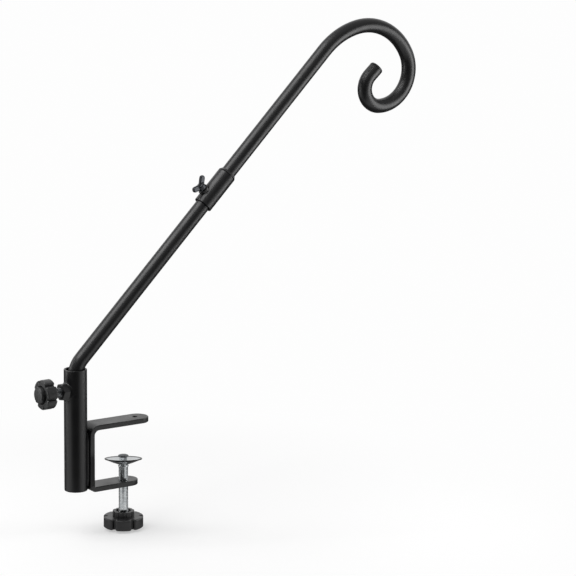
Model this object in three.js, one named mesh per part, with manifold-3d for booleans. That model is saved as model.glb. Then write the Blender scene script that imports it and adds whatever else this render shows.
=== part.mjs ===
// Railing plant hook: a flat bar clamp that grips a rail, a short post tube welded
// to its back, and a bent pole in two lengths that ends in a curled hook.
// Millimetres, +Z up, +X out along the clamp's arms. The origin is the middle of the
// upper arm's underside, on the axis of the clamp screw: the face that rests on the rail.

import * as THREE from 'three';
import { mergeVertices } from 'three/addons/utils/BufferGeometryUtils.js';
import Module from 'manifold-3d';

// Clearances that several pieces share
const touchGap = 0.3;
const threadGap = 0.3;
const cutOverrun = 2;

// Clamp bracket, bent from flat bar
const barWidth = 19;
const barThickness = 4.3;
const throatHeight = 48.2;
const throatDepth = 32.8;
const upperInsideRadius = 4.3;
const lowerInsideRadius = 1.2;
const upperEndReach = 13.4;
const lowerEndReach = 2.9;
const tipHoleDiameter = 4;
const tipHoleReach = 11.2;

// Post tube, welded into a shallow groove in the back of the bracket
const postClearance = 1.85;
const postWall = 1.5;
const postHeight = 103;
const postFootRise = 1.9;
const postSeatDepth = 1;
const postWeldRadius = 2;

// Set screw and knob that hold the pole in the post
const sideScrewInset = 18;
const sideScrewDiameter = 8;
const nutAcrossFlats = 13;
const nutHeight = 4.9;
const nutTurn = 10;
const nutWeldWidth = 0.7;
const nutWeldRise = 1.1;
const sideKnobStandoff = 4.1;
const sideNeckWall = 1;
const sideNeckLength = 4.7;
const sideKnobDiameter = 24.8;
const sideKnobThickness = 8.9;
const sideValleyRadius = 0.9;
const sideValleyDepth = 2.5;
const sideLobeCorner = 1.3;
const sideKnobEdge = 1;
const sideCapDiameter = 13.8;
const sideCapRise = 3.4;
const sideCapCrown = 1.2;
const sideCapGroove = 1;
const sideCapSink = 2.4;
const sideKnobTurn = 20;

// Pole tube: a lower length that turns in the post, and the hook length
const poleDiameter = 12.5;
const poleWall = 1.2;
const poleLeanAngle = 45;
const poleBendRadius = 20;
const poleMouthGap = 0.4;
const poleFootClearance = 12;
const plugFlange = 2;
const plugStem = 8;
const plugChamfer = 0.8;

// Sleeve that joins the two lengths of pole
const sleeveStart = 174.7;
const sleeveLength = 33.2;
const sleeveClearance = 0.55;
const sleeveWall = 1.3;
const lowerPoleInsert = 20;
const sleeveWeldLength = 2.2;

// Wing screw in the side of the sleeve
const wingScrewInset = 10;
const wingScrewDiameter = 5;
const bossWall = 2;
const bossHeight = 1.5;
const wingStandoff = 0.8;
const wingHubDiameter = 7.5;
const wingHubLength = 4.1;
const wingHubShoulder = 0.9;
const wingAngle = 61;
const wingTurn = 12.5;
const wingLength = 9.6;
const wingWidth = 4.8;
const wingThickness = 2.8;

// Curl of the hook: the straight run from the sleeve, then four arcs that tighten
const curlStart = 348;
const curlRadii = [66, 48.5, 30.5, 15.6];
const curlAngles = [34, 74, 120, 135];
const curlTail = 10.3;

// Clamp screw, its swivel pad and its knob
const clampScrewDiameter = 8;
const padRise = 17.9;
const padDiameter = 31.5;
const padRimHeight = 0.9;
const padDepth = 4.8;
const padWall = 1.3;
const padHubWidth = 1.1;
const padPlay = 0.6;
const padTilt = 8;
const padTiltHeading = 149.5;
const screwShoulderWidth = 0.8;
const washerOverhang = 0.4;
const washerThickness = 0.9;
const rivetRise = 1.7;
const rivetOverhang = 0.6;
const rivetHeight = 1.6;
const clampKnobDrop = 22.9;
const bossRingDiameter = 18.1;
const bossRingHeight = 4.6;
const bossFluteRadius = 1.2;
const bossFluteDepth = 0.6;
const bossFluteCorner = 0.4;
const bossFluteCount = 10;
const bossRecessDiameter = 12.6;
const bossRecessDepth = 3;
const clampKnobDiameter = 33.8;
const clampKnobThickness = 9.2;
const clampValleyRadius = 1.2;
const clampValleyDepth = 3.4;
const clampLobeCorner = 1.8;
const clampKnobEdge = 1.2;
const clampCapDiameter = 14.6;
const clampCapRise = 1.4;
const clampCapCrown = 0.8;
const clampCapGroove = 0.8;
const clampCapSink = 2.4;
const clampKnobTurn = 29;

// Both knobs have as many lobes
const lobeCount = 6;

// Fineness of the round work
const tubeSides = 40;
const poleSides = 16;
const screwSides = 24;
const bendStepAngle = 9;
const arcSteps = 6;
const lobeArcSteps = 3;

// A softly crowned top, as shares of its radius and of its height
const crownShares = [[1, 0], [0.97, 0.5], [0.84, 0.85], [0, 1]];

const toRadians = THREE.MathUtils.degToRad;
const wasm = await Module();
wasm.setup();

// Solids

function solid(geometry) {
  const bare = geometry.clone();
  bare.deleteAttribute('normal');
  bare.deleteAttribute('uv');
  const merged = mergeVertices(bare);
  const corners = merged.index.array;
  const triangles = [];
  for (let i = 0; i < corners.length; i += 3) {
    const [a, b, c] = [corners[i], corners[i + 1], corners[i + 2]];
    if (a !== b && b !== c && c !== a) triangles.push(a, b, c);
  }
  return new wasm.Manifold(new wasm.Mesh({
    numProp: 3,
    vertProperties: merged.attributes.position.array,
    triVerts: Uint32Array.from(triangles),
  }));
}

function surface(body) {
  const mesh = body.getMesh();
  const geometry = new THREE.BufferGeometry();
  geometry.setAttribute('position', new THREE.BufferAttribute(mesh.vertProperties, mesh.numProp));
  geometry.setIndex(new THREE.BufferAttribute(mesh.triVerts, 1));
  geometry.computeVertexNormals();
  return geometry;
}

// A ring or a disc turned about Z, from its half section as [radius, height] points
// that run anticlockwise and close on themselves or on the axis
function turned(section, sides) {
  const points = section.map(([radius, height]) => new THREE.Vector2(radius, height));
  if (section[0][0] !== 0) points.push(points[0].clone());
  return solid(new THREE.LatheGeometry(points, sides).rotateX(Math.PI / 2));
}

// A plain round bar along Z between two heights
function bar(radius, low, high, sides) {
  return turned([[0, low], [radius, low], [radius, high], [0, high]], sides);
}

// A round bar along X, centred on the origin
function crossBar(radius, length) {
  return solid(new THREE.CylinderGeometry(radius, radius, length, tubeSides).rotateZ(Math.PI / 2));
}

// A flat shape in the XY plane, given a thickness along Z between two heights
function plate(points, low, high) {
  const shape = new THREE.Shape(points);
  const geometry = new THREE.ExtrudeGeometry(shape, { depth: high - low, bevelEnabled: false });
  return solid(geometry.translate(0, 0, low));
}

function arcPoints(x, y, radius, from, to, steps) {
  return Array.from({ length: steps }, (_, i) => {
    const angle = toRadians(from + (to - from) * i / steps);
    return new THREE.Vector2(x + radius * Math.cos(angle), y + radius * Math.sin(angle));
  });
}

// The corner of a triangle between two sides, in degrees, from its three sides
function cornerAngle(near, far, opposite) {
  return THREE.MathUtils.radToDeg(Math.acos((near ** 2 + far ** 2 - opposite ** 2) / (2 * near * far)));
}

// The outline of a round grip with valleys in its rim whose mouths are rounded off
function lobedOutline(diameter, valley, depth, corner, count) {
  const rim = diameter / 2;
  const valleyAt = rim - depth + valley;
  const cornerAt = rim - corner;
  const half = cornerAngle(valleyAt, cornerAt, valley + corner);
  const spread = cornerAngle(valleyAt, valley + corner, cornerAt);
  const pitch = 360 / count;
  const points = [];
  const addArc = (distance, heading, radius, from, to) => {
    const x = distance * Math.cos(toRadians(heading));
    const y = distance * Math.sin(toRadians(heading));
    points.push(...arcPoints(x, y, radius, from, to, lobeArcSteps));
  };
  for (let turn = 0; turn < 360; turn += pitch) {
    addArc(cornerAt, turn - half, corner, turn - half, turn + spread);
    addArc(valleyAt, turn, valley, turn + 180 + spread, turn + 180 - spread);
    addArc(cornerAt, turn + half, corner, turn - spread, turn + half);
    addArc(0, 0, rim, turn + half, turn + pitch - half);
  }
  return points;
}

// A lobed grip with softened edges, from one height up to another
function lobedGrip(outline, edge, low, high) {
  const geometry = new THREE.ExtrudeGeometry(new THREE.Shape(outline), {
    depth: high - low - 2 * edge,
    bevelThickness: edge,
    bevelSize: edge,
    bevelOffset: -edge,
    bevelSegments: 2,
  });
  return solid(geometry.translate(0, 0, low + edge));
}

// A round disc between two heights, with a softly crowned top
function crownedDisc(radius, low, high, crown) {
  const top = crownShares.map(([r, z]) => [radius * r, high - crown + crown * z]);
  return turned([[0, low], [radius, low], ...top], tubeSides);
}

// Runs of pole: a line of stations with a ring at each, close together only in the bends

class StationLine extends THREE.Curve {
  constructor(stations) {
    super();
    this.stations = stations;
  }

  between(t, key) {
    const place = t * (this.stations.length - 1);
    const index = Math.min(Math.floor(place), this.stations.length - 2);
    const [from, to] = [this.stations[index][key], this.stations[index + 1][key]];
    return from.clone().lerp(to, place - index);
  }

  getPointAt(t) {
    return this.between(t, 'point');
  }

  getTangentAt(t) {
    return this.between(t, 'heading').normalize();
  }
}

// Stations along straights and arcs in the XZ plane, from a start heading up Z;
// each leg is a straight length, or a radius and an angle that bends it towards +X
function stationsOf(startHeight, legs) {
  let heading = 0;
  const point = new THREE.Vector3(0, 0, startHeight);
  const ahead = () => new THREE.Vector3(Math.sin(heading), 0, Math.cos(heading));
  const stations = [{ point: point.clone(), heading: ahead() }];
  for (const { length, radius, angle } of legs) {
    if (radius === undefined) {
      point.addScaledVector(ahead(), length);
      stations.push({ point: point.clone(), heading: ahead() });
      continue;
    }
    const steps = Math.ceil(angle / bendStepAngle);
    const step = toRadians(angle) / steps;
    const chord = 2 * radius * Math.sin(step / 2);
    for (let i = 0; i < steps; i += 1) {
      heading += step / 2;
      point.addScaledVector(ahead(), chord);
      heading += step / 2;
      stations.push({ point: point.clone(), heading: ahead() });
    }
  }
  return stations;
}

function poleRun(stations) {
  const outer = arcPoints(0, 0, poleDiameter / 2, 0, 360, poleSides);
  const inner = arcPoints(0, 0, poleDiameter / 2 - poleWall, 0, 360, poleSides);
  const section = new THREE.Shape(outer);
  section.holes.push(new THREE.Path(inner));
  const extrudePath = new StationLine(stations);
  return solid(new THREE.ExtrudeGeometry(section, { extrudePath, steps: stations.length - 1 }));
}

// A plug for the end of the pole: a flange as wide as the tube and a stem inside it
function endPlug(low) {
  const stem = poleDiameter / 2 - poleWall - touchGap;
  const rim = poleDiameter / 2;
  return turned([[0, low], [rim - plugChamfer, low], [rim, low + plugChamfer],
    [rim, low + plugFlange], [stem, low + plugFlange],
    [stem, low + plugFlange + plugStem], [0, low + plugFlange + plugStem]], screwSides);
}

// Finishes

const blackCoat = { color: 0x232325, roughness: 0.45, metalness: 0.3 };
const blackPlastic = { color: 0x2c2c2d, roughness: 0.5, metalness: 0 };
const zincPlate = { color: 0xc4c7c8, roughness: 0.28, metalness: 1 };
const darkZinc = { color: 0x5a5b5e, roughness: 0.4, metalness: 0.9 };

function piece(name, body, finish) {
  const mesh = new THREE.Mesh(surface(body), new THREE.MeshStandardMaterial(finish));
  mesh.name = name;
  return mesh;
}

const hook = new THREE.Group();

// Clamp bracket: the flat bar's side outline, with round ends seen from above

const poleRadius = poleDiameter / 2;
const postBore = poleRadius + postClearance;
const postRadius = postBore + postWall;
const lowerFace = -throatHeight;
const bracketFoot = lowerFace - barThickness;
const webFace = -throatDepth;
const webBack = webFace - barThickness;
const upperOutsideRadius = upperInsideRadius + barThickness;
const lowerOutsideRadius = lowerInsideRadius + barThickness;
const upperTip = upperEndReach + barWidth / 2;
const lowerTip = lowerEndReach + barWidth / 2;
const postCentre = webBack - postRadius + postSeatDepth;
const postFoot = bracketFoot + postFootRise;
const sideScrewHeight = postHeight - sideScrewInset;

// An arm seen from above: straight sides and a full round end
function armPlan(endReach, low, high) {
  const half = barWidth / 2;
  const back = webBack - cutOverrun;
  return plate([
    ...arcPoints(endReach, 0, half, -90, 90, 2 * arcSteps),
    new THREE.Vector2(endReach, half),
    new THREE.Vector2(back, half),
    new THREE.Vector2(back, -half),
  ], low, high);
}

function bracketBody() {
  const side = [
    ...arcPoints(webFace + upperInsideRadius, -upperInsideRadius, upperInsideRadius, 90, 180, arcSteps),
    new THREE.Vector2(webFace, -upperInsideRadius),
    ...arcPoints(webFace + lowerInsideRadius, lowerFace + lowerInsideRadius, lowerInsideRadius,
      180, 270, arcSteps),
    new THREE.Vector2(webFace + lowerInsideRadius, lowerFace),
    new THREE.Vector2(lowerTip, lowerFace),
    new THREE.Vector2(lowerTip, bracketFoot),
    ...arcPoints(webBack + lowerOutsideRadius, bracketFoot + lowerOutsideRadius, lowerOutsideRadius,
      270, 180, arcSteps),
    new THREE.Vector2(webBack, bracketFoot + lowerOutsideRadius),
    ...arcPoints(webBack + upperOutsideRadius, barThickness - upperOutsideRadius, upperOutsideRadius,
      180, 90, arcSteps),
    new THREE.Vector2(webBack + upperOutsideRadius, barThickness),
    new THREE.Vector2(upperTip, barThickness),
    new THREE.Vector2(upperTip, 0),
  ].reverse();
  const width = new THREE.ExtrudeGeometry(new THREE.Shape(side), { depth: barWidth, bevelEnabled: false });
  const bent = solid(width.rotateX(Math.PI / 2).translate(0, barWidth / 2, 0));
  const ends = armPlan(upperEndReach, lowerFace / 2, barThickness + cutOverrun)
    .add(armPlan(lowerEndReach, bracketFoot - cutOverrun, lowerFace / 2));

  const tipHole = bar(tipHoleDiameter / 2, -cutOverrun, barThickness + cutOverrun, screwSides)
    .translate(tipHoleReach, 0, 0);
  const screwHole = bar(clampScrewDiameter / 2 + threadGap, bracketFoot - cutOverrun,
    lowerFace + cutOverrun, screwSides);
  const groove = bar(postRadius + touchGap, bracketFoot - cutOverrun, barThickness + cutOverrun, tubeSides)
    .translate(postCentre, 0, 0);
  return bent.intersect(ends).subtract(tipHole).subtract(screwHole).subtract(groove);
}

hook.add(piece('clamp_bracket', bracketBody(), blackCoat));

// Post tube and the two weld beads that hold it to the bracket, from the post's foot up

const post = new THREE.Group();
post.position.set(postCentre, 0, postFoot);
hook.add(post);

function postBody() {
  const tube = turned([[postBore, 0], [postRadius, 0], [postRadius, postHeight],
    [postBore, postHeight]], tubeSides);
  const hole = bar(sideScrewDiameter / 2 + threadGap, 0, postRadius + cutOverrun, screwSides)
    .rotate([0, -90, 0]).translate(0, 0, sideScrewHeight);
  return tube.subtract(hole);
}

function postWeldBody(side) {
  const back = postRadius - postSeatDepth;
  const seatHalf = Math.sqrt(postRadius ** 2 - back ** 2);
  const low = lowerOutsideRadius - postFootRise;
  const high = -postFoot + barThickness - upperOutsideRadius + postWeldRadius;
  const bead = bar(postWeldRadius, low, high, screwSides)
    .translate(back - postWeldRadius / 2, side * (seatHalf + postWeldRadius), 0);
  const tube = bar(postRadius + touchGap, low - cutOverrun, high + cutOverrun, tubeSides);
  const web = solid(new THREE.BoxGeometry(barWidth, barWidth, postHeight * 2))
    .translate(back - touchGap + barWidth / 2, 0, 0);
  return bead.subtract(tube).subtract(web);
}

post.add(piece('post_tube', postBody(), blackCoat));
post.add(piece('bracket_weld_near', postWeldBody(-1), blackCoat));
post.add(piece('bracket_weld_far', postWeldBody(1), blackCoat));

// Side clamp: in this group Z runs out of the post, away from the bracket, and X runs up

const sideClamp = new THREE.Group();
sideClamp.position.set(0, 0, sideScrewHeight);
sideClamp.rotation.y = -Math.PI / 2;
post.add(sideClamp);

const nutFace = postRadius + nutHeight;
const sideNeckFoot = nutFace + sideKnobStandoff;
const sideLobeFoot = sideNeckFoot + sideNeckLength;
const sideLobeFace = sideLobeFoot + sideKnobThickness;
const sideCapFloor = sideLobeFace - sideCapSink;

function hexPrism(acrossFlats, low, high) {
  const corner = acrossFlats / Math.sqrt(3);
  const geometry = new THREE.CylinderGeometry(corner, corner, high - low, 6);
  return solid(geometry.rotateX(Math.PI / 2).translate(0, 0, (low + high) / 2));
}

function nutBody() {
  const saddle = crossBar(postRadius + touchGap, postHeight);
  const thread = bar(sideScrewDiameter / 2 + threadGap, 0, nutFace + cutOverrun, screwSides);
  return hexPrism(nutAcrossFlats, 0, nutFace).rotate([0, 0, nutTurn]).subtract(saddle).subtract(thread);
}

// The weld hugs the post round the foot of the nut
function nutWeldBody() {
  const outer = nutAcrossFlats / Math.sqrt(3) + nutWeldWidth;
  const crest = crossBar(postRadius + nutWeldRise, postHeight);
  const saddle = crossBar(postRadius + touchGap, postHeight);
  const nut = hexPrism(nutAcrossFlats + 2 * touchGap, 0, nutFace).rotate([0, 0, nutTurn]);
  return bar(outer, 0, nutFace, tubeSides).intersect(crest).subtract(saddle).subtract(nut);
}

function sideKnobBody() {
  const bolt = sideScrewDiameter / 2 + threadGap;
  const neck = bolt + sideNeckWall;
  const outline = lobedOutline(sideKnobDiameter, sideValleyRadius, sideValleyDepth, sideLobeCorner,
    lobeCount);
  const grip = lobedGrip(outline, sideKnobEdge, sideLobeFoot, sideLobeFace);
  const stalk = turned([[0, sideNeckFoot], [neck - sideKnobEdge / 2, sideNeckFoot],
    [neck, sideNeckFoot + sideKnobEdge], [neck, sideLobeFoot + sideKnobEdge],
    [0, sideLobeFoot + sideKnobEdge]], screwSides);
  const bore = bar(bolt, sideNeckFoot - cutOverrun, sideCapFloor + touchGap, screwSides);
  const well = bar(sideCapDiameter / 2 + sideCapGroove, sideCapFloor, sideLobeFace + cutOverrun, tubeSides);
  return grip.add(stalk).subtract(bore).subtract(well);
}

sideClamp.add(piece('side_nut', nutBody(), blackCoat));
sideClamp.add(piece('side_nut_weld', nutWeldBody(), blackCoat));
sideClamp.add(piece('side_screw',
  bar(sideScrewDiameter / 2, poleRadius + touchGap, sideCapFloor, screwSides), zincPlate));
const sideKnob = piece('side_knob', sideKnobBody(), blackPlastic);
sideKnob.rotation.z = toRadians(sideKnobTurn);
sideClamp.add(sideKnob);
sideClamp.add(piece('side_knob_cap',
  crownedDisc(sideCapDiameter / 2, sideCapFloor + touchGap, sideLobeFace + sideCapRise, sideCapCrown),
  blackPlastic));

// Lower length of pole: upright in the post, then bent to lean out over the arms

const lean = toRadians(poleLeanAngle);
const bendTangent = poleBendRadius * Math.tan(lean / 2);

// The bend starts just so deep in the post's mouth that the pole still clears the rim there:
// this is the cosine of its lean where it passes the mouth
function mouthLeanCosine() {
  const spare = poleBendRadius - (postBore - poleMouthGap);
  return (spare + Math.sqrt(spare ** 2 + 4 * poleBendRadius * poleRadius)) / (2 * poleBendRadius);
}

const bendDepth = poleBendRadius * Math.sqrt(1 - mouthLeanCosine() ** 2);
const poleCorner = postFoot + postHeight - bendDepth + bendTangent;
const poleFoot = postFoot + poleFootClearance;

const uprightPole = new THREE.Group();
uprightPole.position.set(postCentre, 0, poleFoot);
hook.add(uprightPole);
uprightPole.add(piece('pole_foot_plug', endPlug(-plugFlange - touchGap), blackPlastic));
uprightPole.add(piece('lower_pole', poleRun(stationsOf(0, [
  { length: poleCorner - bendTangent - poleFoot },
  { radius: poleBendRadius, angle: poleLeanAngle },
  { length: sleeveStart + lowerPoleInsert - bendTangent },
])), blackCoat));

// Leaning pole: in this group Z runs up the pole from where its line crosses the post's
// axis, and X runs down and away from the post

const leaningPole = new THREE.Group();
leaningPole.position.set(postCentre, 0, poleCorner);
leaningPole.rotation.y = lean;
hook.add(leaningPole);

const sleeveBore = poleRadius + sleeveClearance;
const sleeveRadius = sleeveBore + sleeveWall;
const sleeveEnd = sleeveStart + sleeveLength;
const wingScrewPlace = sleeveStart + wingScrewInset;

function sleeveBody() {
  const tube = turned([[sleeveBore, sleeveStart], [sleeveRadius, sleeveStart],
    [sleeveRadius, sleeveEnd], [sleeveBore, sleeveEnd]], tubeSides);
  const hole = bar(wingScrewDiameter / 2 + threadGap, 0, sleeveRadius + cutOverrun, screwSides)
    .rotate([0, -90, 0]).translate(0, 0, wingScrewPlace);
  return tube.subtract(hole);
}

function sleeveWeldBody() {
  const inner = poleRadius + touchGap;
  const low = sleeveEnd + touchGap;
  return turned([[inner, low], [sleeveRadius, low], [inner + touchGap, low + sleeveWeldLength],
    [inner, low + sleeveWeldLength]], tubeSides);
}

leaningPole.add(piece('joint_sleeve', sleeveBody(), blackCoat));
leaningPole.add(piece('sleeve_weld', sleeveWeldBody(), blackCoat));

// Hook length of pole, from its end inside the sleeve to the plug in the end of the curl

const hookPoleFoot = sleeveStart + lowerPoleInsert + touchGap;
const hookStations = stationsOf(hookPoleFoot, [
  { length: curlStart - hookPoleFoot },
  ...curlRadii.map((radius, i) => ({ radius, angle: curlAngles[i] })),
  { length: curlTail - plugFlange - touchGap },
]);
leaningPole.add(piece('hook_pole', poleRun(hookStations), blackCoat));

const hookTip = hookStations.at(-1);
const hookEndPlug = piece('hook_end_plug', endPlug(-plugFlange - touchGap), blackPlastic);
hookEndPlug.position.copy(hookTip.point);
hookEndPlug.rotation.y = Math.PI + Math.atan2(hookTip.heading.x, hookTip.heading.z);
leaningPole.add(hookEndPlug);

// Wing screw: in this group Z runs out of the sleeve and X runs up the pole

const wingScrew = new THREE.Group();
wingScrew.position.set(0, 0, wingScrewPlace);
wingScrew.rotation.y = -Math.PI / 2;
leaningPole.add(wingScrew);

const bossFace = sleeveRadius + bossHeight;
const wingHubFoot = bossFace + wingStandoff;
const wingHubTop = wingHubFoot + wingHubLength;
const wingBoreTop = wingHubTop - wingHubLength / 3;

function bossBody() {
  const saddle = crossBar(sleeveRadius + touchGap, sleeveLength);
  const thread = bar(wingScrewDiameter / 2 + threadGap, 0, bossFace + cutOverrun, screwSides);
  return bar(wingScrewDiameter / 2 + threadGap + bossWall, 0, bossFace, screwSides)
    .subtract(saddle).subtract(thread);
}

function wingBody(side) {
  const half = wingWidth / 2;
  const reach = wingLength - half;
  const outline = [
    ...arcPoints(reach, 0, half, -90, 90, arcSteps),
    new THREE.Vector2(reach, half),
    new THREE.Vector2(0, half),
    new THREE.Vector2(0, -half),
  ];
  const middle = (wingHubFoot + wingHubTop) / 2;
  return plate(outline, -wingThickness / 2, wingThickness / 2)
    .rotate([90, side * wingAngle - 90, 0]).translate(0, 0, middle);
}

function wingHeadBody() {
  const hub = wingHubDiameter / 2;
  const barrel = turned([[0, wingHubFoot], [hub, wingHubFoot], [hub, wingHubTop - wingHubShoulder],
    [hub - wingHubShoulder, wingHubTop], [0, wingHubTop]], screwSides);
  const bore = bar(wingScrewDiameter / 2 + threadGap, wingHubFoot - cutOverrun, wingBoreTop, screwSides);
  return barrel.add(wingBody(1)).add(wingBody(-1)).subtract(bore).rotate([0, 0, wingTurn]);
}

wingScrew.add(piece('wing_screw_boss', bossBody(), blackCoat));
wingScrew.add(piece('wing_screw',
  bar(wingScrewDiameter / 2, poleRadius + touchGap, wingBoreTop - touchGap, screwSides), zincPlate));
wingScrew.add(piece('wing_head', wingHeadBody(), darkZinc));

// Clamp screw: in this group Z runs up the screw from the middle of its pad's rim

const clamp = new THREE.Group();
clamp.position.set(0, 0, lowerFace + padRise);
hook.add(clamp);

const clampScrewRadius = clampScrewDiameter / 2;
const screwNeck = clampScrewRadius - screwShoulderWidth;
const padBore = screwNeck + padPlay;
const padHub = padBore + padHubWidth;
const padPivot = -padDepth + padWall / 2;
const padSwing = padHub * Math.sin(toRadians(padTilt));
const washerTop = padPivot - padWall / 2 - padSwing - touchGap;
const washerFoot = washerTop - washerThickness;
const screwShoulder = washerFoot - touchGap;
const knobTop = -padRise - barThickness - clampKnobDrop;
const lobeTop = knobTop - bossRingHeight;
const knobFoot = lobeTop - clampKnobThickness;
const clampCapFloor = knobFoot + clampCapSink;

// The pad is a thin dish, drawn here from the middle of its floor, where it tips
function padBody() {
  const rim = padDiameter / 2;
  const half = padWall / 2;
  const rimTop = -padPivot;
  return turned([[padBore, -half], [padHub, -half], [rim, rimTop - padRimHeight], [rim, rimTop],
    [rim - padRimHeight, rimTop], [padHub, half], [padBore, half]], tubeSides);
}

function clampScrewBody() {
  const rivet = padBore + rivetOverhang;
  const crown = crownShares.map(([r, z]) => [rivet * r, rivetRise + rivetHeight * (1 + z) / 2]);
  return turned([[0, clampCapFloor + touchGap], [clampScrewRadius, clampCapFloor + touchGap],
    [clampScrewRadius, screwShoulder], [screwNeck, screwShoulder], [screwNeck, rivetRise],
    [rivet, rivetRise], ...crown], screwSides);
}

function washerBody() {
  const inner = screwNeck + touchGap;
  const outer = clampScrewRadius + washerOverhang;
  return turned([[inner, washerFoot], [outer, washerFoot], [outer, washerTop], [inner, washerTop]],
    screwSides);
}

function clampKnobBody() {
  const outline = lobedOutline(clampKnobDiameter, clampValleyRadius, clampValleyDepth, clampLobeCorner,
    lobeCount);
  const grip = lobedGrip(outline, clampKnobEdge, knobFoot, lobeTop);
  const flutes = lobedOutline(bossRingDiameter, bossFluteRadius, bossFluteDepth, bossFluteCorner,
    bossFluteCount);
  const ring = plate(flutes, lobeTop - clampKnobEdge, knobTop);
  const recess = bar(bossRecessDiameter / 2, knobTop - bossRecessDepth, knobTop + cutOverrun, tubeSides);
  const bore = bar(clampScrewRadius + threadGap, clampCapFloor - touchGap, knobTop, screwSides);
  const well = bar(clampCapDiameter / 2 + clampCapGroove, knobFoot - cutOverrun, clampCapFloor, tubeSides);
  return grip.add(ring).subtract(recess).subtract(bore).subtract(well);
}

function clampCapBody() {
  return crownedDisc(clampCapDiameter / 2, -clampCapFloor + touchGap, -knobFoot + clampCapRise, clampCapCrown)
    .rotate([180, 0, 0]);
}

const padSwivel = new THREE.Group();
padSwivel.position.set(0, 0, padPivot);
padSwivel.rotation.z = toRadians(padTiltHeading);
clamp.add(padSwivel);
const pad = piece('pad_dish', padBody(), zincPlate);
pad.rotation.x = toRadians(padTilt);
padSwivel.add(pad);
clamp.add(piece('pad_washer', washerBody(), zincPlate));
clamp.add(piece('clamp_screw', clampScrewBody(), zincPlate));
const clampKnob = piece('clamp_knob', clampKnobBody(), blackPlastic);
clampKnob.rotation.z = toRadians(clampKnobTurn);
clamp.add(clampKnob);
clamp.add(piece('clamp_knob_cap', clampCapBody(), blackPlastic));

export default hook;
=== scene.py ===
import math

import bmesh
import bpy
from bmesh.types import BMEdge, BMFace, BMVert
from mathutils import Matrix, Vector


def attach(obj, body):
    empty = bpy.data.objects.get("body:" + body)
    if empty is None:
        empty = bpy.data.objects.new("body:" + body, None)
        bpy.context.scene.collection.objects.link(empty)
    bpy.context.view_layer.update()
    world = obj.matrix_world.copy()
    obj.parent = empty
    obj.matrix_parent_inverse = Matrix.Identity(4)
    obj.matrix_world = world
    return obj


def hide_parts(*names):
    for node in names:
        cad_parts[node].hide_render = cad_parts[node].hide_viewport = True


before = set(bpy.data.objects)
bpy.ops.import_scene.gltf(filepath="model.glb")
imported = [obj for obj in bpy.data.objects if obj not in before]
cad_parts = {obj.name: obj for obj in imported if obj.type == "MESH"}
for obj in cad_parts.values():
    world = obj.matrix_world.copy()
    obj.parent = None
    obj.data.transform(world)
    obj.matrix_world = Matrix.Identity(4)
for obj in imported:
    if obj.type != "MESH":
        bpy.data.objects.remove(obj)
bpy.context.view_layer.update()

mm = 0.001

# Camera
# A long lens, far off to the left of the clamp and a little above it, as the hook was
# photographed. The numbers were fitted to the photograph's edges.

camera_place = Vector((-1151.7 * mm, -1924 * mm, 586.4 * mm))
camera_heading = math.radians(34.39)
camera_dip = math.radians(11.85)
camera_roll = math.radians(0.59)

sight = Vector((math.sin(camera_heading) * math.cos(camera_dip),
                math.cos(camera_heading) * math.cos(camera_dip), -math.sin(camera_dip)))
level = Vector((math.cos(camera_heading), -math.sin(camera_heading), 0))
upright = level.cross(sight)
right = level * math.cos(camera_roll) + upright * math.sin(camera_roll)
above = upright * math.cos(camera_roll) - level * math.sin(camera_roll)

lens = bpy.data.cameras.new("camera")
lens.sensor_width = 36
lens.lens = 173.06
lens.clip_start = 0.05
lens.clip_end = 60
camera = bpy.data.objects.new("camera", lens)
camera_turn = Matrix((right, above, -sight)).transposed().to_4x4()
camera.matrix_world = Matrix.Translation(camera_place) @ camera_turn
bpy.context.scene.collection.objects.link(camera)
bpy.context.scene.camera = camera
bpy.context.scene.view_settings.view_transform = "Standard"

# Floor
# A plain white studio sweep under the hook. It takes the soft shadow near the clamp and
# fades into plain white further out. It keeps under the knob when the clamp screw is turned.


def linear(code):
    """The sRGB hex colour as the linear colour that the shaders read."""
    parts = [int(code[i:i + 2], 16) / 255 for i in (1, 3, 5)]
    return [c / 12.92 if c <= 0.04045 else ((c + 0.055) / 1.055) ** 2.4 for c in parts] + [1.0]


def add_node(tree, kind, inputs, **settings):
    """A node with its settings, and with a value or a link for each input."""
    node = tree.nodes.new(kind)
    for key, value in settings.items():
        setattr(node, key, value)
    for key, value in inputs.items():
        if isinstance(value, bpy.types.NodeSocket):
            tree.links.new(value, node.inputs[key])
        else:
            node.inputs[key].default_value = value
    return node


def new_finish(name):
    """An empty node material and its tree."""
    finish = bpy.data.materials.new(name)
    finish.use_nodes = True
    finish.node_tree.nodes.clear()
    return finish, finish.node_tree


floor_reach = 12.0
floor_height = -91.2 * mm
shadow_centre = (-10 * mm, 0, 0)
shadow_core = 168 * mm
shadow_reach = 420 * mm
knob_surround = 60 * mm
open_floor = 110 * mm
white_level = 0.985
to_camera = -Vector((sight.x, sight.y, 0)).normalized()

floor_finish, tree = new_finish("white_sweep")
coords = add_node(tree, "ShaderNodeTexCoord", {})
centred = add_node(tree, "ShaderNodeVectorMath", {0: coords.outputs["Object"], 1: shadow_centre},
                   operation="SUBTRACT")
away = add_node(tree, "ShaderNodeVectorMath", {0: centred.outputs[0]}, operation="LENGTH")
white = add_node(tree, "ShaderNodeEmission", {"Color": linear("#ffffff"), "Strength": white_level})

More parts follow.
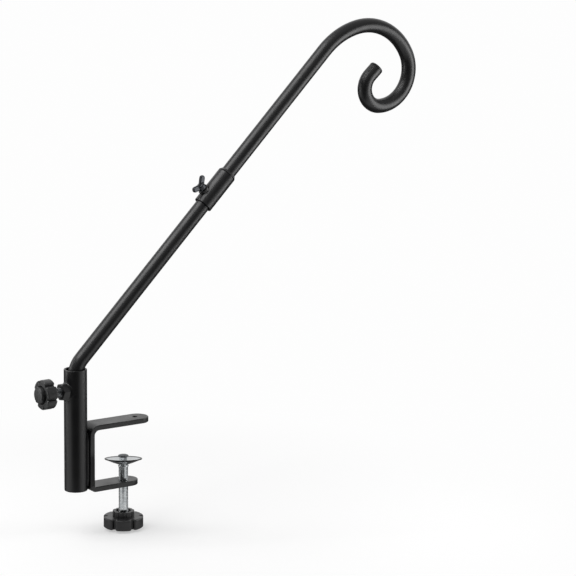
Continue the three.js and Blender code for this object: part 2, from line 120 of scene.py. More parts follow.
# What the camera sees: paper that is lifted nearly to white, and plain white further out
fade = add_node(tree, "ShaderNodeMapRange", {
    "Value": away.outputs["Value"], "From Min": shadow_core, "From Max": shadow_reach},
    interpolation_type="SMOOTHSTEP")
shaded = add_node(tree, "ShaderNodeBsdfDiffuse", {"Color": linear("#c4c4c4")})
lift = add_node(tree, "ShaderNodeEmission", {"Color": linear("#ffffff"), "Strength": 0.435})
lifted = add_node(tree, "ShaderNodeAddShader", {0: shaded.outputs[0], 1: lift.outputs[0]})
near = add_node(tree, "ShaderNodeMixShader", {
    0: fade.outputs[0], 1: lifted.outputs[0], 2: white.outputs[0]})

# What lights the hook from below and shows in its metal: paper painted lighter round the knob
# and darker further out, as painted light and shade. In reflections it glows white to the left
# and the right: painted light that stands in for the side boxes' light on the floor
beyond = add_node(tree, "ShaderNodeMapRange", {
    "Value": away.outputs["Value"], "From Min": knob_surround, "From Max": open_floor})
# Painted light round the knob and painted shade further out, as the paper's colour
painted_paper_tone = add_node(tree, "ShaderNodeMix", {
    0: beyond.outputs[0], 6: linear("#a8a8a8"), 7: linear("#5c5c5c")}, data_type="RGBA")
paper = add_node(tree, "ShaderNodeBsdfDiffuse", {"Color": painted_paper_tone.outputs[2]})
bearing = add_node(tree, "ShaderNodeVectorMath", {0: centred.outputs[0]}, operation="NORMALIZE")
towards = add_node(tree, "ShaderNodeVectorMath", {0: bearing.outputs[0], 1: to_camera},
                   operation="DOT_PRODUCT")
not_in_front = add_node(tree, "ShaderNodeMapRange", {
    "Value": towards.outputs["Value"], "From Min": 0.82, "From Max": 0.62})
not_behind = add_node(tree, "ShaderNodeMapRange", {
    "Value": towards.outputs["Value"], "From Min": -0.15, "From Max": 0.15})
beside = add_node(tree, "ShaderNodeMath", {0: not_in_front.outputs[0], 1: not_behind.outputs[0]},
                  operation="MULTIPLY")
# Painted light: beside the hook, and away from the knob, the floor glows white to glossy rays
painted_side_glow = add_node(tree, "ShaderNodeMath", {0: beyond.outputs[0], 1: beside.outputs[0]},
               operation="MULTIPLY")
rays = add_node(tree, "ShaderNodeLightPath", {})
mirrored = add_node(tree, "ShaderNodeMath", {0: rays.outputs["Is Glossy Ray"], 1: painted_side_glow.outputs[0]},
                    operation="MULTIPLY")
far = add_node(tree, "ShaderNodeMixShader", {
    0: mirrored.outputs[0], 1: paper.outputs[0], 2: white.outputs[0]})

seen = add_node(tree, "ShaderNodeMath", {
    0: rays.outputs["Is Camera Ray"], 1: rays.outputs["Is Transmission Ray"]}, operation="MAXIMUM")
choice = add_node(tree, "ShaderNodeMixShader", {
    0: seen.outputs[0], 1: far.outputs[0], 2: near.outputs[0]})
add_node(tree, "ShaderNodeOutputMaterial", {"Surface": choice.outputs[0]})

sheet = bmesh.new()
bmesh.ops.create_grid(sheet, x_segments=1, y_segments=1, size=floor_reach,
                      matrix=Matrix.Translation((0, 0, floor_height)))
floor_mesh = bpy.data.meshes.new("floor")
sheet.to_mesh(floor_mesh)
sheet.free()
floor_mesh.materials.append(floor_finish)
floor = bpy.data.objects.new("floor", floor_mesh)
bpy.context.scene.collection.objects.link(floor)
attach(floor, "washer")

# Light
# A studio with a white backdrop behind the hook and a dark side where the camera stands, a
# large soft box above and to the left, and a narrow box at each side that draws a streak of
# light down the tubes and screws. Only glossy rays see the studio; the camera sees white.

room_dark = 0.05

room = bpy.data.worlds.new("room")
bpy.context.scene.world = room
room.use_nodes = True
tree = room.node_tree
tree.nodes.clear()
way = add_node(tree, "ShaderNodeTexCoord", {})
behind = add_node(tree, "ShaderNodeVectorMath", {0: way.outputs["Generated"], 1: -to_camera},
                  operation="DOT_PRODUCT")
backdrop = add_node(tree, "ShaderNodeMapRange", {
    "Value": behind.outputs["Value"], "From Min": 0.1, "From Max": 0.7,
    "To Min": room_dark, "To Max": white_level})
parts = add_node(tree, "ShaderNodeSeparateXYZ", {"Vector": way.outputs["Generated"]})
ceiling = add_node(tree, "ShaderNodeMapRange", {
    "Value": parts.outputs["Z"], "From Min": 0.15, "From Max": 0.75,
    "To Min": room_dark, "To Max": 0.5})
walls = add_node(tree, "ShaderNodeMath", {0: backdrop.outputs[0], 1: ceiling.outputs[0]},
                 operation="MAXIMUM")
rays = add_node(tree, "ShaderNodeLightPath", {})
mirrored = add_node(tree, "ShaderNodeMix", {
    "Factor": rays.outputs["Is Glossy Ray"], "A": 0.4, "B": walls.outputs[0]}, data_type="FLOAT")
seen = add_node(tree, "ShaderNodeMath", {
    0: rays.outputs["Is Camera Ray"], 1: rays.outputs["Is Transmission Ray"]}, operation="MAXIMUM")
strength = add_node(tree, "ShaderNodeMix", {
    "Factor": seen.outputs[0], "A": mirrored.outputs[0], "B": white_level}, data_type="FLOAT")
glow = add_node(tree, "ShaderNodeBackground", {
    "Color": linear("#ffffff"), "Strength": strength.outputs[0]})
add_node(tree, "ShaderNodeOutputWorld", {"Surface": glow.outputs[0]})


def soft_box(name, place, aim, width, height, brightness):
    """A soft box that faces its aim, as bright as that many sheets of lit white paper."""
    data = bpy.data.lights.new(name, "AREA")
    data.shape = "RECTANGLE"
    data.size = width
    data.size_y = height
    data.energy = brightness * math.pi * width * height
    lamp = bpy.data.objects.new(name, data)
    turn = (Vector(aim) - Vector(place)).to_track_quat("-Z", "Y").to_matrix().to_4x4()
    lamp.matrix_world = Matrix.Translation(place) @ turn
    lamp.visible_camera = False
    bpy.context.scene.collection.objects.link(lamp)


middle = Vector((100 * mm, 0, 100 * mm))
overhead = Vector((-816 * mm, 96 * mm, 1376 * mm))
post_middle = Vector((-45.7 * mm, 0, 100 * mm))
box_height = Vector((0, 0, 50 * mm))
soft_box("overhead_box", middle + overhead, middle, width=1.3, height=0.95, brightness=4.2)
soft_box("left_box", post_middle + box_height - level * 0.5 + sight * 0.06, post_middle,
         width=0.22, height=0.5, brightness=2.3)
soft_box("right_box", post_middle + box_height + level * 0.7 + sight * 0.08, post_middle,
         width=0.3, height=0.5, brightness=4.0)

# Clamp bracket
# Steel flat bar, 19 by 4.3 mm, sawn with round ends, drilled in both arms and bent to a C.
# Black powder coat over rolled edges.

bar_width = 19 * mm
bar_thickness = 4.3 * mm
throat_height = 48.2 * mm
throat_depth = 32.8 * mm
upper_bend = 4.3 * mm
lower_bend = 1.2 * mm
upper_reach = 13.4 * mm
lower_reach = 2.9 * mm
tip_hole_at = 11.2 * mm
tip_hole = 2 * mm
thread_hole = 4.3 * mm
bar_edge = 0.55 * mm


def powder_coat(name, shade, highlight, grain):
    """Polyester powder coat, baked on steel: satin, with a fine grain that scatters the light."""
    finish, tree = new_finish(name)
    coords = add_node(tree, "ShaderNodeTexCoord", {})
    specks = add_node(tree, "ShaderNodeTexNoise", {
        "Vector": coords.outputs["Object"], "Scale": 1 / grain, "Detail": 3.0, "Roughness": 0.6})
    flow = add_node(tree, "ShaderNodeTexNoise", {
        "Vector": coords.outputs["Object"], "Scale": 1 / (12 * mm), "Detail": 2.0})
    tint = add_node(tree, "ShaderNodeValToRGB", {"Fac": specks.outputs["Fac"]})
    tint.color_ramp.elements[0].position = 0.35
    tint.color_ramp.elements[0].color = linear(shade)
    tint.color_ramp.elements[1].position = 0.75
    tint.color_ramp.elements[1].color = linear(highlight)
    satin = add_node(tree, "ShaderNodeMapRange", {
        "Value": flow.outputs["Fac"], "From Min": 0.3, "From Max": 0.7,
        "To Min": 0.32, "To Max": 0.4})
    relief = add_node(tree, "ShaderNodeBump", {
        "Height": specks.outputs["Fac"], "Strength": 0.35, "Distance": 0.12 * mm})
    coat = add_node(tree, "ShaderNodeBsdfPrincipled", {
        "Base Color": tint.outputs["Color"], "Roughness": satin.outputs[0], "IOR": 1.5,
        "Normal": relief.outputs["Normal"]})
    add_node(tree, "ShaderNodeOutputMaterial", {"Surface": coat.outputs[0]})
    return finish


# The real grain is about 0.2 mm; it is drawn coarser so that it shows at all
black_coat = powder_coat("black_powder_coat", "#0c0c0d", "#18181a", 0.8 * mm)


def corner_edges(shape, least):
    """The edges where two faces meet at more than the least angle, in degrees."""
    return [e for e in shape.edges if e.is_manifold and e.calc_face_angle() > math.radians(least)]


def soften(shape, edges, radius, segments):
    """Rounds off the edges, as rolling, casting or deburring leaves them."""
    bmesh.ops.bevel(shape, geom=edges, offset=radius, offset_type="OFFSET", segments=segments,
                    profile=0.5, affect="EDGES", material=-1, clamp_overlap=True)


def finished(shape, name, node, body, finish, sharp=40):
    """The shape as a smooth-shaded piece that stands for a CAD node and rides on its body."""
    bmesh.ops.remove_doubles(shape, verts=shape.verts, dist=0.0005 * mm)
    bmesh.ops.recalc_face_normals(shape, faces=shape.faces)
    mesh = bpy.data.meshes.new(name)
    shape.to_mesh(mesh)
    shape.free()
    mesh.shade_smooth()
    mesh.set_sharp_from_angle(angle=math.radians(sharp))
    mesh.materials.append(finish)
    piece = bpy.data.objects.new(name, mesh)
    bpy.context.scene.collection.objects.link(piece)
    shading = piece.modifiers.new("flat_faces_stay_flat", "WEIGHTED_NORMAL")
    shading.keep_sharp = True
    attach(piece, body)
    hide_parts(node)
    return piece


def picked(items, kind):
    """The items that are of that kind."""
    return [item for item in items if isinstance(item, kind)]


def drawn_out(shape, faces, height):
    """Draws the faces out along Z."""
    grown = bmesh.ops.extrude_face_region(shape, geom=faces)
    bmesh.ops.translate(shape, verts=picked(grown["geom"], BMVert), vec=(0, 0, height))


def joined(shape, other):
    """Adds the other shape to this one."""
    mesh = bpy.data.meshes.new("joined")
    other.to_mesh(mesh)
    other.free()
    shape.from_mesh(mesh)
    bpy.data.meshes.remove(mesh)
    return shape


def bent_arm(shape, start, reach, foot, hole_at, hole_radius, bend_centre, turn):
    """One arm of the bar with its round end and its hole, and the bend that follows it."""
    half = bar_width / 2
    near_corner = shape.verts.new((start, -half, foot))
    near_side = shape.verts.new((reach, -half, foot))
    shape.edges.new((near_corner, near_side))
    end = bmesh.ops.spin(shape, geom=[near_side], cent=(reach, 0, foot), axis=(0, 0, 1),
                         angle=math.pi, steps=28)
    far_side = picked(end["geom_last"], BMVert)[0]
    far_corner = shape.verts.new((start, half, foot))
    shape.edges.new((far_side, far_corner))
    shape.edges.new((far_corner, near_corner))
    bmesh.ops.create_circle(shape, segments=36, radius=hole_radius,
                            matrix=Matrix.Translation((hole_at, 0, foot)))
    loops = [e for e in shape.edges if not e.link_faces]
    flat = bmesh.ops.triangle_fill(shape, edges=loops, use_beauty=True)
    faces = picked(flat["geom"], BMFace)
    drawn_out(shape, faces, bar_thickness)
    back = [f for f in shape.faces if all(abs(v.co.x - start) < 0.001 * mm for v in f.verts)]
    bend = bmesh.ops.spin(shape, geom=back, cent=bend_centre, axis=(0, 1, 0),
                          angle=math.radians(turn), steps=14)
    return picked(bend["geom_last"], BMFace)


# The lower arm and its bend, the web above it, then the upper arm, joined where they meet
lower_face = -throat_height
web_face = -throat_depth
shape = bmesh.new()
lower_start = web_face + lower_bend
end_face = bent_arm(shape, lower_start, lower_reach, lower_face - bar_thickness, 0, thread_hole,
                    (lower_start, 0, lower_face + lower_bend), 90)
drawn_out(shape, end_face, throat_height - lower_bend - upper_bend)
upper_start = web_face + upper_bend
upper = bmesh.new()
bent_arm(upper, upper_start, upper_reach, 0, tip_hole_at, tip_hole,
         (upper_start, 0, -upper_bend), -90)
joined(shape, upper)
seam = [f for f in shape.faces if all(abs(v.co.z + upper_bend) < 0.001 * mm for v in f.verts)]
bmesh.ops.delete(shape, geom=seam, context="FACES_ONLY")
bmesh.ops.remove_doubles(shape, verts=shape.verts, dist=0.01 * mm)
bmesh.ops.recalc_face_normals(shape, faces=shape.faces)
soften(shape, corner_edges(shape, 50), bar_edge, 3)
finished(shape, "bar_clamp", "clamp_bracket", "clamp_frame", black_coat)

# Post tube
# Steel tube, 19.2 mm across, sawn square and deburred. It stands behind the bracket with its
# bore open at the top for the pole, and is coated with it.

post_at = -45.7 * mm
post_radius = 9.6 * mm
post_bore = 8.1 * mm
post_foot = -50.6 * mm
post_mouth = 52.4 * mm
tube_edge = 0.35 * mm


def turned(section, steps):
    """A round shape about Z, from its half section as (radius, height) points."""
    shape = bmesh.new()
    points = [shape.verts.new((r, 0, z)) for r, z in section]
    for near_point, far_point in zip(points, points[1:]):
        shape.edges.new((near_point, far_point))
    if section[0][0] > 0:
        shape.edges.new((points[-1], points[0]))
    bmesh.ops.spin(shape, geom=shape.verts[:] + shape.edges[:], cent=(0, 0, 0), axis=(0, 0, 1),
                   angle=2 * math.pi, steps=steps, use_merge=True)
    bmesh.ops.remove_doubles(shape, verts=shape.verts, dist=0.001 * mm)
    bmesh.ops.recalc_face_normals(shape, faces=shape.faces)
    return shape


def placed(shape, at, lean=0.0):
    """Moves the shape from the origin to its place, leaning from upright about the Y axis."""
    turn = Matrix.Rotation(math.radians(lean), 4, "Y")
    bmesh.ops.transform(shape, matrix=Matrix.Translation(at) @ turn, verts=shape.verts)
    return shape


shape = turned([(post_bore, post_foot), (post_radius, post_foot), (post_radius, post_mouth),
                (post_bore, post_mouth)], 72)
soften(shape, corner_edges(shape, 50), tube_edge, 3)
finished(placed(shape, (post_at, 0, 0)), "post_tube_coated", "post_tube", "clamp_frame",
         black_coat)

# Weld beads in the crevices between post and bracket
# Two runs of MIG weld, one on each side, with the ripples that the torch leaves every
# millimetre or so, under the same coat.

bead_radius = 2 * mm
bead_low = -47 * mm
bead_high = -2.3 * mm
bead_at = -38.1 * mm
bead_side = 6.2 * mm
bead_tip = 0.3
ripple = 1.3 * mm
ripple_steps = 4
ripple_height = 0.07


def circle(shape, radius, steps, at=(0, 0, 0)):
    """The edges of a new circle about Z."""
    ring = bmesh.ops.create_circle(shape, segments=steps, radius=radius,
                                   matrix=Matrix.Translation(at))
    return list(dict.fromkeys(e for v in ring["verts"] for e in v.link_edges))


def far_end(grown):
    """The vertices at the far end of extruded edges, and the edges between them."""
    verts = picked(grown["geom"], BMVert)
    edges = picked(grown["geom"], BMEdge)
    return verts, [e for e in edges if e.verts[0] in verts and e.verts[1] in verts]


def weld_bead(side):
    """A rippled bead along Z, tapered at both ends."""
    shape = bmesh.new()
    step = ripple / ripple_steps
    steps = round((bead_high - bead_low) / step)
    centre = Vector((bead_at, side * bead_side, 0))
    reach = bead_radius * bead_tip
    edges = circle(shape, reach, 20, centre + Vector((0, 0, bead_low)))
    bmesh.ops.contextual_create(shape, geom=edges)
    for i in range(1, steps + 1):
        share = i / steps
        taper = min(1, bead_tip + 5 * share, bead_tip + 5 * (1 - share))
        wave = 1 - ripple_height + ripple_height * math.cos(2 * math.pi * i / ripple_steps)
        wanted = bead_radius * taper * wave
        verts, edges = far_end(bmesh.ops.extrude_edge_only(shape, edges=edges))
        bmesh.ops.translate(shape, verts=verts, vec=(0, 0, step))
        bmesh.ops.scale(shape, vec=(wanted / reach, wanted / reach, 1), verts=verts,
                        space=Matrix.Translation(-centre))
        reach = wanted
    bmesh.ops.contextual_create(shape, geom=edges)
    return shape


finished(weld_bead(-1), "weld_bead_near", "bracket_weld_near", "clamp_frame",
         black_coat, sharp=80)
finished(weld_bead(1), "weld_bead_far", "bracket_weld_far", "clamp_frame",
         black_coat, sharp=80)

# Nut on the post
# An M8 hexagon nut, 13 mm across flats with its corners chamfered, welded over the hole in
# the post and coated with the frame.

side_at = Vector((post_at, 0, 34.4 * mm))
side_lean = -90.0
nut_flats = 13 * mm
nut_foot = 8.7 * mm
nut_face = 14.5 * mm
nut_turn = 10.0
nut_bore = 4.2 * mm
nut_floor = 0.5 * mm
nut_chamfer = 30.0
nut_chamfer_share = 0.485
nut_chamfer_steps = 48


def hexagon_nut(across_flats, foot, face, hole, turn):
    """A hexagon nut along Z whose outer corners are cut by a cone."""
    shape = bmesh.new()
    corner = across_flats / math.sqrt(3)
    bmesh.ops.create_cone(shape, cap_ends=True, segments=6, radius1=corner, radius2=corner,
                          depth=face - foot, matrix=Matrix.Translation((0, 0, (face + foot) / 2))
                          @ Matrix.Rotation(math.radians(turn), 4, "Z"))
    slope = math.radians(nut_chamfer)
    rim = across_flats * nut_chamfer_share
    for step in range(nut_chamfer_steps):
        heading = 2 * math.pi * step / nut_chamfer_steps
        outward = Vector((math.cos(heading), math.sin(heading), 0))
        bmesh.ops.bisect_plane(shape, geom=shape.verts[:] + shape.edges[:] + shape.faces[:],
                               dist=0.0001 * mm, plane_co=outward * rim + Vector((0, 0, face)),
                               plane_no=outward * math.sin(slope) + Vector((0, 0, math.cos(slope))),
                               clear_outer=True)
        bmesh.ops.holes_fill(shape, edges=[e for e in shape.edges if e.is_boundary], sides=0)
    top = max(shape.faces, key=lambda f: f.calc_center_median().z)
    bmesh.ops.inset_region(shape, faces=[top], thickness=rim - hole, depth=0, use_even_offset=True)
    drawn_out(shape, [top], foot - face + nut_floor)
    return shape


shape = hexagon_nut(nut_flats, nut_foot, nut_face, nut_bore, nut_turn)
finished(placed(shape, side_at, side_lean), "post_nut", "side_nut", "clamp_frame",
         black_coat, sharp=12)

# Weld round the nut
# One run of weld about the nut's foot, which follows the round of the post and is coated
# with it.

nut_weld_radius = 8.1 * mm
nut_weld_width = 1.6 * mm
nut_weld_height = 1.5 * mm
nut_weld_rounding = ((0.2 * mm, 0.6 * mm), (0.7 * mm, 1.0 * mm))
nut_weld_plain_foot = 0.3 * mm
nut_weld_sink = 0.4 * mm
nut_weld_ripple = 0.12 * mm
nut_weld_ripples = 34


def nut_weld():
    """The fillet of weld that hugs the round post about the nut's foot."""
    inner = nut_weld_radius - nut_weld_width
    shape = turned([(inner, 0), (nut_weld_radius, 0)]
                   + [(nut_weld_radius - inward, rise) for inward, rise in nut_weld_rounding]
                   + [(inner, nut_weld_height)], 96)
    for v in shape.verts:
        wave = nut_weld_ripple * math.sin(math.atan2(v.co.y, v.co.x) * nut_weld_ripples)
        saddle = math.sqrt(max(post_radius ** 2 - v.co.y ** 2, 0)) - nut_weld_sink
        v.co.z += saddle + (wave if v.co.z > nut_weld_plain_foot else 0)
    return shape


finished(placed(nut_weld(), side_at, side_lean), "post_nut_weld", "side_nut_weld", "clamp_frame",
         black_coat, sharp=80)

# Set screw of the side knob
# An M8 screw of zinc-plated steel with a rolled thread. Its zinc is drawn darker than the other
# screws', as painted shade for the gap between the knob and the nut, and a little rougher. It
# turns in the nut, and its end bears on the pole inside the post.

m8_radius = 4 * mm
m8_pitch = 1.25 * mm
side_screw_end = 6.6 * mm
side_screw_head = 29.8 * mm
thread_depth = 0.25


def zinc_plate(name, shade, highlight, roughness):
    """Zinc plate on steel: a blurred mirror with faint, cloudy passivation."""
    finish, tree = new_finish(name)
    coords = add_node(tree, "ShaderNodeTexCoord", {})
    cloud = add_node(tree, "ShaderNodeTexNoise", {
        "Vector": coords.outputs["Object"], "Scale": 1 / (3 * mm), "Detail": 4.0})
    tint = add_node(tree, "ShaderNodeValToRGB", {"Fac": cloud.outputs["Fac"]})
    tint.color_ramp.elements[0].position = 0.3
    tint.color_ramp.elements[0].color = linear(shade)
    tint.color_ramp.elements[1].position = 0.7
    tint.color_ramp.elements[1].color = linear(highlight)
    sheen = add_node(tree, "ShaderNodeMapRange", {
        "Value": cloud.outputs["Fac"], "From Min": 0.3, "From Max": 0.7,
        "To Min": roughness, "To Max": roughness + 0.1})
    plate = add_node(tree, "ShaderNodeBsdfPrincipled", {
        "Base Color": tint.outputs["Color"], "Metallic": 1.0, "Roughness": sheen.outputs[0]})
    add_node(tree, "ShaderNodeOutputMaterial", {"Surface": plate.outputs[0]})
    return finish


bright_zinc = zinc_plate("bright_zinc_plate", "#b4b8ba", "#d9dbdc", 0.14)
# The side screw's zinc is darker: painted shade for the gap between the knob and the nut
shade_painted_zinc = zinc_plate("shade_painted_zinc_plate", "#5c5e60", "#8a8c8e", 0.3)


def threaded_bar(radius, pitch, low, high):
    """A bar along Z with a rolled right-hand thread of that pitch, closed at both ends."""
    root = radius - thread_depth * pitch
    turns = math.ceil((high - low) / pitch) + 1
    steps = 24
    shape = bmesh.new()
    profile = [(root, 0), (root, 0.08), (radius, 0.26), (radius, 0.78), (root, 0.96), (root, 1)]
    points = [shape.verts.new((r, 0, low - pitch + share * pitch)) for r, share in profile]
    for near_point, far_point in zip(points, points[1:]):
        shape.edges.new((near_point, far_point))
    bmesh.ops.spin(shape, geom=shape.verts[:] + shape.edges[:], cent=(0, 0, 0), axis=(0, 0, 1),
                   dvec=(0, 0, pitch / steps), angle=2 * math.pi * turns, steps=steps * turns)
    bmesh.ops.remove_doubles(shape, verts=shape.verts, dist=0.005 * mm)
    for height, keep in ((low, 1), (high, -1)):
        bmesh.ops.bisect_plane(shape, geom=shape.verts[:] + shape.edges[:] + shape.faces[:],
                               dist=0.0001 * mm, plane_co=(0, 0, height), plane_no=(0, 0, -keep),
                               clear_outer=True)
        rim = [e for e in shape.edges if e.is_boundary
               and all(abs(v.co.z - height) < 0.001 * mm for v in e.verts)]
        bmesh.ops.contextual_create(shape, geom=rim)
    return shape


shape = threaded_bar(m8_radius, m8_pitch, side_screw_end, side_screw_head)
finished(placed(shape, side_at, side_lean), "side_screw_threaded", "side_screw", "side_stud",
         shade_painted_zinc, sharp=50)

# Side knob
# A six-lobed grip moulded in black plastic round the screw's head, with a narrow neck, a
# spark-eroded grain and a ring groove round its cap.

knob_neck_foot = 18.6 * mm
knob_lobe_foot = 23.3 * mm
knob_lobe_face = 32.2 * mm
knob_neck = 5.3 * mm
knob_bore = 4.3 * mm
knob_neck_edge = 0.6 * mm
knob_flare = 0.9 * mm
knob_flare_foot = 0.8 * mm
knob_overlap = 0.4 * mm
knob_rim = 12.4 * mm
knob_valley = 0.9 * mm
knob_valley_depth = 2.5 * mm
knob_lobe_corner = 1.3 * mm
knob_edge = 1.1 * mm
knob_well = 7.9 * mm
knob_well_floor = 29.8 * mm
knob_turn = 20.0
lobes = 6


def moulded_plastic(name, shade, highlight, grain):
    """Nylon or ABS, moulded against a spark-eroded tool: dull, with a fine even grain."""
    finish, tree = new_finish(name)
    coords = add_node(tree, "ShaderNodeTexCoord", {})
    pits = add_node(tree, "ShaderNodeTexVoronoi", {
        "Vector": coords.outputs["Object"], "Scale": 1 / grain})
    haze = add_node(tree, "ShaderNodeTexNoise", {
        "Vector": coords.outputs["Object"], "Scale": 1 / (5 * mm), "Detail": 3.0})
    tint = add_node(tree, "ShaderNodeValToRGB", {"Fac": haze.outputs["Fac"]})
    tint.color_ramp.elements[0].position = 0.3
    tint.color_ramp.elements[0].color = linear(shade)
    tint.color_ramp.elements[1].position = 0.7
    tint.color_ramp.elements[1].color = linear(highlight)
    relief = add_node(tree, "ShaderNodeBump", {
        "Height": pits.outputs["Distance"], "Strength": 0.5, "Distance": 0.1 * mm})
    dull = add_node(tree, "ShaderNodeMapRange", {
        "Value": haze.outputs["Fac"], "From Min": 0.3, "From Max": 0.7,
        "To Min": 0.34, "To Max": 0.44})
    skin = add_node(tree, "ShaderNodeBsdfPrincipled", {
        "Base Color": tint.outputs["Color"], "Roughness": dull.outputs[0], "IOR": 1.5,
        "Normal": relief.outputs["Normal"]})
    add_node(tree, "ShaderNodeOutputMaterial", {"Surface": skin.outputs[0]})
    return finish


# This grain too is drawn coarser than it is, so that it shows
black_plastic = moulded_plastic("black_moulded_plastic", "#1c1c1d", "#2a2a2b", 0.7 * mm)


def corner_angle(near_side, far_side, opposite):
    """The corner of a triangle between two sides, from its three sides."""
    return math.acos((near_side ** 2 + far_side ** 2 - opposite ** 2) / (2 * near_side * far_side))


def rolled(shape, angle, axis="Z"):
    """Turns the shape about an axis through the origin."""
    bmesh.ops.rotate(shape, cent=(0, 0, 0), matrix=Matrix.Rotation(math.radians(angle), 3, axis),
                     verts=shape.verts)
    return shape


def lobed_face(shape, rim, valley, depth, corner, count, height, turn):
    """A flat face whose rim has valleys with rounded mouths, drawn arc after arc."""
    valley_at = rim - depth + valley
    corner_at = rim - corner
    half = corner_angle(valley_at, corner_at, valley + corner)
    spread = corner_angle(valley_at, valley + corner, corner_at)
    pitch = 2 * math.pi / count
    point = shape.verts.new((rim * math.cos(half), rim * math.sin(half), height))

    def arc(point, distance, heading, angle, steps):
        centre = (distance * math.cos(heading), distance * math.sin(heading), height)
        drawn = bmesh.ops.spin(shape, geom=[point], cent=centre, axis=(0, 0, 1), angle=angle,
                               steps=steps)
        return picked(drawn["geom_last"], BMVert)[0]

    point = arc(point, 0, 0, pitch - 2 * half, 9)
    point = arc(point, corner_at, pitch - half, half + spread, 6)
    point = arc(point, valley_at, pitch, -2 * spread, 8)
    arc(point, corner_at, pitch + half, half + spread, 6)
    bmesh.ops.spin(shape, geom=shape.verts[:] + shape.edges[:], cent=(0, 0, 0), axis=(0, 0, 1),
                   angle=2 * math.pi, steps=count, use_duplicate=True)
    bmesh.ops.remove_doubles(shape, verts=shape.verts, dist=0.002 * mm)
    rolled(shape, turn)
    return bmesh.ops.contextual_create(shape, geom=shape.edges[:])["faces"]


def raised(shape, faces, height):
    """Draws the faces out along Z into a solid."""
    drawn_out(shape, faces, height)
    bmesh.ops.recalc_face_normals(shape, faces=shape.faces)


def sunk(shape, height, radius, depth, steps):
    """Opens a round well in the flat end face at that height."""
    face = [f for f in shape.faces if all(abs(v.co.z - height) < 0.001 * mm for v in f.verts)]
    rim = [e for e in shape.edges if sum(f in face for f in e.link_faces) == 1]
    bmesh.ops.delete(shape, geom=face, context="FACES_ONLY")
    edges = circle(shape, radius, steps, (0, 0, height))
    bmesh.ops.triangle_fill(shape, edges=rim + edges, use_beauty=True)
    verts = far_end(bmesh.ops.extrude_edge_only(shape, edges=edges))[0]
    bmesh.ops.translate(shape, verts=verts, vec=(0, 0, depth))
    bmesh.ops.contextual_create(shape, geom=verts)
    bmesh.ops.recalc_face_normals(shape, faces=shape.faces)


shape = bmesh.new()
raised(shape, lobed_face(shape, knob_rim, knob_valley, knob_valley_depth, knob_lobe_corner, lobes,
                         knob_lobe_foot, knob_turn), knob_lobe_face - knob_lobe_foot)
soften(shape, corner_edges(shape, 60), knob_edge, 4)
sunk(shape, knob_lobe_face, knob_well, knob_well_floor - knob_lobe_face, 64)
neck = turned([(knob_bore, knob_neck_foot), (knob_neck - knob_neck_edge, knob_neck_foot),
               (knob_neck, knob_neck_foot + knob_neck_edge),
               (knob_neck, knob_lobe_foot - knob_flare_foot),
               (knob_neck + knob_flare, knob_lobe_foot + knob_overlap),
               (knob_bore, knob_lobe_foot + knob_overlap)], 48)
joined(shape, neck)
finished(placed(shape, side_at, side_lean), "side_knob_grip", "side_knob", "side_grip",
         black_plastic, sharp=45)

# Cap of the side knob
# A snap-in disc in the same plastic that covers the screw's head, crowned at its rim.

cap_radius = 6.9 * mm
cap_foot = 30.1 * mm
cap_face = 35.6 * mm
cap_crown = 1.2 * mm
crown_rounding = ((1, 1), (0.985, 0.62), (0.94, 0.3), (0.84, 0.14), (0.5, 0.03), (0, 0))


def crowned_cap(radius, foot, face, crown):
    """A disc along Z with a rolled rim and a slightly domed face."""
    return turned([(0, foot), (radius, foot)]
                  + [(radius * share, face - crown * drop) for share, drop in crown_rounding], 64)


finished(placed(crowned_cap(cap_radius, cap_foot, cap_face, cap_crown), side_at, side_lean),
         "side_knob_cover", "side_knob_cap", "side_grip", black_plastic, sharp=35)

# Lower length of pole
# Steel tube, 12.5 mm across with a 1.2 mm wall, bent once to 45 degrees where it leaves the
# post, coated before it is put in.

pole_radius = 6.25 * mm
pole_bore = 5.05 * mm
pole_foot = -38.6 * mm
pole_bend = 20 * mm
pole_corner = 54.2 * mm
pole_lean = 45.0
pole_edge = 0.25 * mm


class TubeBender:
    """Draws a tube as a bender does: straight pushes, and bends about a former in the XZ plane."""

    def __init__(self, radius, bore, steps):
        self.shape = bmesh.new()
        self.rings = []
        for size in (radius, bore):
            self.rings.append(circle(self.shape, size, steps))
        bmesh.ops.bridge_loops(self.shape, edges=self.rings[0] + self.rings[1])
        self.point = Vector((0, 0, 0))
        self.heading = 0.0

    def push(self, length):
        """Pushes out a straight length."""
        way = Vector((math.sin(self.heading), 0, math.cos(self.heading))) * length
        for i, edges in enumerate(self.rings):
            verts, self.rings[i] = far_end(bmesh.ops.extrude_edge_only(self.shape, edges=edges))
            bmesh.ops.translate(self.shape, verts=verts, vec=way)
        self.point += way

    def bend(self, radius, angle, step=2.5):
        """Bends the tube towards +X, then round and back, about a former of that radius."""
        across = Vector((math.cos(self.heading), 0, -math.sin(self.heading)))
        centre = self.point + across * radius
        steps = math.ceil(angle / step)
        for i, edges in enumerate(self.rings):
            verts = list(dict.fromkeys(v for e in edges for v in e.verts))
            drawn = bmesh.ops.spin(self.shape, geom=verts + edges, cent=centre, axis=(0, 1, 0),
                                   angle=math.radians(angle), steps=steps)
            self.rings[i] = picked(drawn["geom_last"], BMEdge)
        self.heading += math.radians(angle)
        way = Vector((-math.cos(self.heading), 0, math.sin(self.heading)))
        self.point = centre + way * radius

    def cut(self, edge):
        """Closes the sawn end, deburrs both ends and hands over the tube."""
        bmesh.ops.bridge_loops(self.shape, edges=self.rings[0] + self.rings[1])
        bmesh.ops.recalc_face_normals(self.shape, faces=self.shape.faces)
        soften(self.shape, corner_edges(self.shape, 60), edge, 2)
        return self.shape


